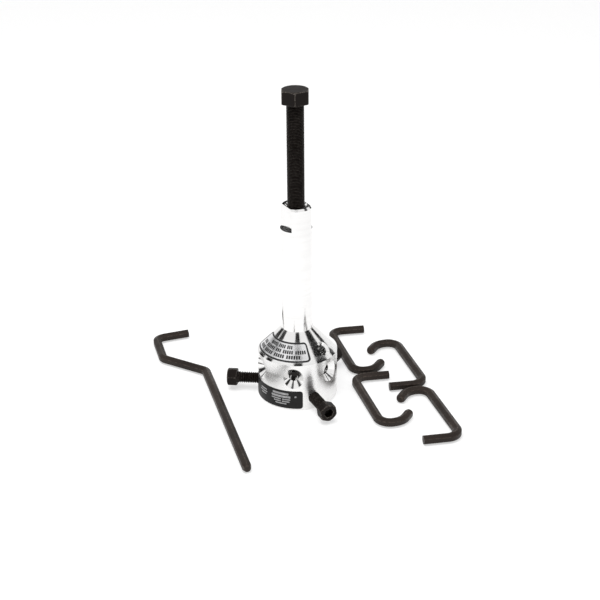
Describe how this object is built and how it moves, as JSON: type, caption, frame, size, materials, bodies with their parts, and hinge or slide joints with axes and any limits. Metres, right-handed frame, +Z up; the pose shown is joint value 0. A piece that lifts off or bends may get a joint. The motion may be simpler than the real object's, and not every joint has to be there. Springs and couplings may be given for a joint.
{
  "type": "gear puller",
  "caption": "Bell-type gear puller with a long forcing screw, radial side bolts, loose hex-rod hooks and an offset hex bar.",
  "frame": {"origin": "centre of the bell's mouth, on the floor the bell stands on", "axes": "+Z up along the forcing screw; -Y toward the front, where the name plate's right end and the front side bolt are"},
  "size_m": [0.2992, 0.266, 0.3021],
  "materials": {
    "polished_aluminium": "turned and polished",
    "black_oxide": "black oxide, light oil",
    "ball_steel": "ground",
    "phosphate": "dark phosphate",
    "foil": "printed foil",
    "plate_black": "printed plate"
  },
  "bodies": {
    "housing": {"housing": "polished_aluminium", "cone_label": "foil", "name_plate": "plate_black"},
    "forcing_screw": {"forcing_screw": "black_oxide"},
    "thrust_ball": {"thrust_ball": "ball_steel"},
    "side_bolt_left": {"side_bolt_left": "black_oxide"},
    "side_bolt_front": {"side_bolt_front": "black_oxide"},
    "side_bolt_back": {"side_bolt_back": "black_oxide"},
    "hook_1": {"hook_1": "phosphate"},
    "hook_2": {"hook_2": "phosphate"},
    "hook_3": {"hook_3": "phosphate"},
    "hook_4": {"hook_4": "phosphate"},
    "offset_hex_bar": {"offset_hex_bar": "phosphate"}
  },
  "joints": [
    {"name": "screw_travel", "type": "slide", "parent": "housing", "child": "thrust_ball", "axis": [0, 0, 1], "range_m": [-0.094, 0.066]},
    {"name": "screw_turn", "type": "hinge", "parent": "thrust_ball", "child": "forcing_screw", "pos_m": [0, 0, 0], "axis": [0, 0, 1], "continuous": true},
    {"name": "side_bolt_left_travel", "type": "slide", "parent": "housing", "child": "side_bolt_left", "axis": [-0.9951, 0.0993, 0], "range_m": [-0.0185, 0.006]},
    {"name": "side_bolt_front_travel", "type": "slide", "parent": "housing", "child": "side_bolt_front", "axis": [0.4115, -0.9114, 0], "range_m": [-0.0207, 0.004]},
    {"name": "side_bolt_back_travel", "type": "slide", "parent": "housing", "child": "side_bolt_back", "axis": [0.5835, 0.8121, 0], "range_m": [-0.0162, 0.002]},
    {"name": "hook_1_lift", "type": "slide", "parent": "housing", "child": "hook_1", "axis": [0, 0, 1], "range_m": [0, 0.06]},
    {"name": "hook_2_lift", "type": "slide", "parent": "housing", "child": "hook_2", "axis": [0, 0, 1], "range_m": [0, 0.06]},
    {"name": "hook_3_lift", "type": "slide", "parent": "housing", "child": "hook_3", "axis": [0, 0, 1], "range_m": [0, 0.06]},
    {"name": "hook_4_lift", "type": "slide", "parent": "housing", "child": "hook_4", "axis": [0, 0, 1], "range_m": [0, 0.06]},
    {"name": "offset_hex_bar_lift", "type": "slide", "parent": "housing", "child": "offset_hex_bar", "axis": [0, 0, 1], "range_m": [0, 0.06]}
  ],
  "couplings": [
    {"joint": "screw_turn", "follows": "screw_travel", "rad_per_m": 4452.7}
  ]
}
